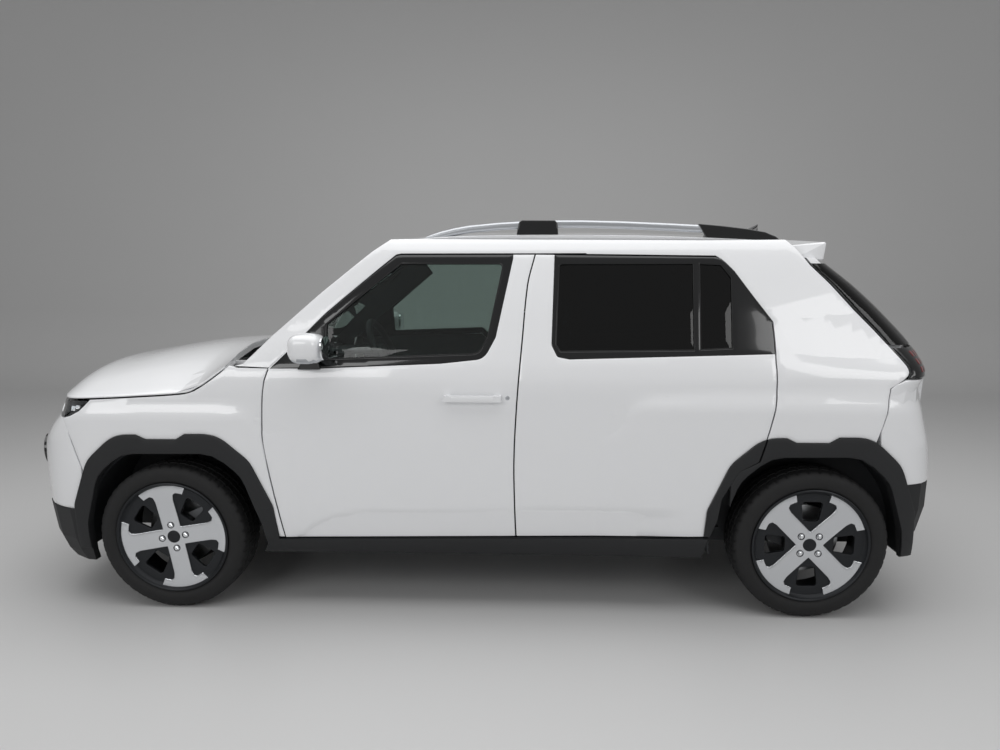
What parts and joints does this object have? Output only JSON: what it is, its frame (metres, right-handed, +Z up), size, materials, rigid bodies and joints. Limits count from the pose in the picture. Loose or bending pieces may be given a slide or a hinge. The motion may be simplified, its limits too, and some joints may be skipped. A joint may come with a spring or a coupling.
{
  "type": "electric city car",
  "caption": "Small five-door electric city car with opening doors, hood and tailgate, steered front wheels, black claddings and roof rails.",
  "frame": {"origin": "on the ground under the middle of the car's outline", "axes": "+X points to the front of the car, +Y to its left, +Z up"},
  "size_m": [3.8218, 1.847, 1.595],
  "materials": {
    "body_paint": "gloss white paint",
    "underbody_steel": "black chassis coating",
    "black_plastic": "grained moulded plastic",
    "dark_glass": "tinted safety glass",
    "lamp_glass": "clear lamp lens",
    "tail_lamp_red": "red lamp lens",
    "rail_silver": "satin anodised",
    "cabin_plastic": "soft grained plastic",
    "seat_fabric": "woven cloth",
    "battery_case": "cast case",
    "cast_metal": "raw casting",
    "tyre_rubber": "black rubber",
    "wheel_alloy": "diamond cut face, dark pockets"
  },
  "bodies": {
    "body": {"body_side_left": "body_paint", "body_side_right": "body_paint", "roof_panel": "body_paint", "floor_pan": "underbody_steel", "front_fender_left": "body_paint", "front_fender_right": "body_paint", "front_bumper": "body_paint", "front_panel": "black_plastic", "front_lamps": "lamp_glass", "rear_bumper": "body_paint", "lower_cladding": "black_plastic", "windshield": "dark_glass", "cowl": "black_plastic", "roof_rails": "rail_silver", "roof_antenna": "black_plastic", "dashboard": "cabin_plastic", "front_seats": "seat_fabric", "rear_seat": "seat_fabric", "battery_pack": "battery_case", "drive_motor": "cast_metal", "front_subframe": "underbody_steel", "front_struts": "underbody_steel", "rear_axle": "underbody_steel"},
    "hood": {"hood": "body_paint"},
    "tailgate": {"tailgate": "body_paint", "tailgate_glass": "dark_glass", "tail_lamps": "tail_lamp_red"},
    "front_door_left": {"front_door_left": "body_paint", "front_door_frame_left": "black_plastic", "front_door_glass_left": "dark_glass", "mirror_left": "body_paint"},
    "rear_door_left": {"rear_door_left": "body_paint", "rear_door_frame_left": "black_plastic", "rear_door_glass_left": "dark_glass"},
    "knuckle_left": {"knuckle_left": "cast_metal"},
    "front_wheel_left": {"tyre_front_left": "tyre_rubber", "wheel_front_left": "wheel_alloy"},
    "rear_wheel_left": {"tyre_rear_left": "tyre_rubber", "wheel_rear_left": "wheel_alloy"},
    "front_door_right": {"front_door_right": "body_paint", "front_door_frame_right": "black_plastic", "front_door_glass_right": "dark_glass", "mirror_right": "body_paint"},
    "rear_door_right": {"rear_door_right": "body_paint", "rear_door_frame_right": "black_plastic", "rear_door_glass_right": "dark_glass"},
    "knuckle_right": {"knuckle_right": "cast_metal"},
    "front_wheel_right": {"tyre_front_right": "tyre_rubber", "wheel_front_right": "wheel_alloy"},
    "rear_wheel_right": {"tyre_rear_right": "tyre_rubber", "wheel_rear_right": "wheel_alloy"},
    "steering_wheel": {"steering_wheel": "cabin_plastic"}
  },
  "joints": [
    {"name": "front_door_left", "type": "hinge", "parent": "body", "child": "front_door_left", "pos_m": [0.7345, 0.76, 0.66], "axis": [0, 0, -1], "range_deg": [0, 65]},
    {"name": "rear_door_left", "type": "hinge", "parent": "body", "child": "rear_door_left", "pos_m": [-0.2635, 0.76, 0.66], "axis": [0, 0, -1], "range_deg": [0, 65]},
    {"name": "front_door_right", "type": "hinge", "parent": "body", "child": "front_door_right", "pos_m": [0.7345, -0.76, 0.66], "axis": [0, 0, 1], "range_deg": [0, 65]},
    {"name": "rear_door_right", "type": "hinge", "parent": "body", "child": "rear_door_right", "pos_m": [-0.2635, -0.76, 0.66], "axis": [0, 0, 1], "range_deg": [0, 65]},
    {"name": "hood", "type": "hinge", "parent": "body", "child": "hood", "pos_m": [0.9245, 0, 1], "axis": [0, -1, 0], "range_deg": [0, 50]},
    {"name": "tailgate", "type": "hinge", "parent": "body", "child": "tailgate", "pos_m": [-1.2835, 0, 1.492], "axis": [0, 1, 0], "range_deg": [0, 80]},
    {"name": "steer_left", "type": "hinge", "parent": "body", "child": "knuckle_left", "pos_m": [1.2145, 0.65, 0.18], "axis": [0, -0.2468, 0.9691], "range_deg": [-33, 33]},
    {"name": "steer_right", "type": "hinge", "parent": "body", "child": "knuckle_right", "pos_m": [1.2145, -0.65, 0.18], "axis": [0, 0.2468, 0.9691], "range_deg": [-33, 33]},
    {"name": "front_wheel_left", "type": "hinge", "parent": "knuckle_left", "child": "front_wheel_left", "pos_m": [1.2145, 0.69, 0.305], "axis": [0, 1, 0], "continuous": true},
    {"name": "rear_wheel_left", "type": "hinge", "parent": "body", "child": "rear_wheel_left", "pos_m": [-1.3655, 0.69, 0.305], "axis": [0, 1, 0], "continuous": true},
    {"name": "front_wheel_right", "type": "hinge", "parent": "knuckle_right", "child": "front_wheel_right", "pos_m": [1.2145, -0.69, 0.305], "axis": [0, 1, 0], "continuous": true},
    {"name": "rear_wheel_right", "type": "hinge", "parent": "body", "child": "rear_wheel_right", "pos_m": [-1.3655, -0.69, 0.305], "axis": [0, 1, 0], "continuous": true},
    {"name": "steering_wheel", "type": "hinge", "parent": "body", "child": "steering_wheel", "pos_m": [0.3845, 0.36, 1.005], "axis": [0.9135, 0, -0.4067], "range_deg": [-429, 429]}
  ],
  "couplings": [
    {"joint": "steer_right", "follows": "steer_left", "ratio": 1},
    {"joint": "steering_wheel", "follows": "steer_left", "ratio": 13}
  ]
}
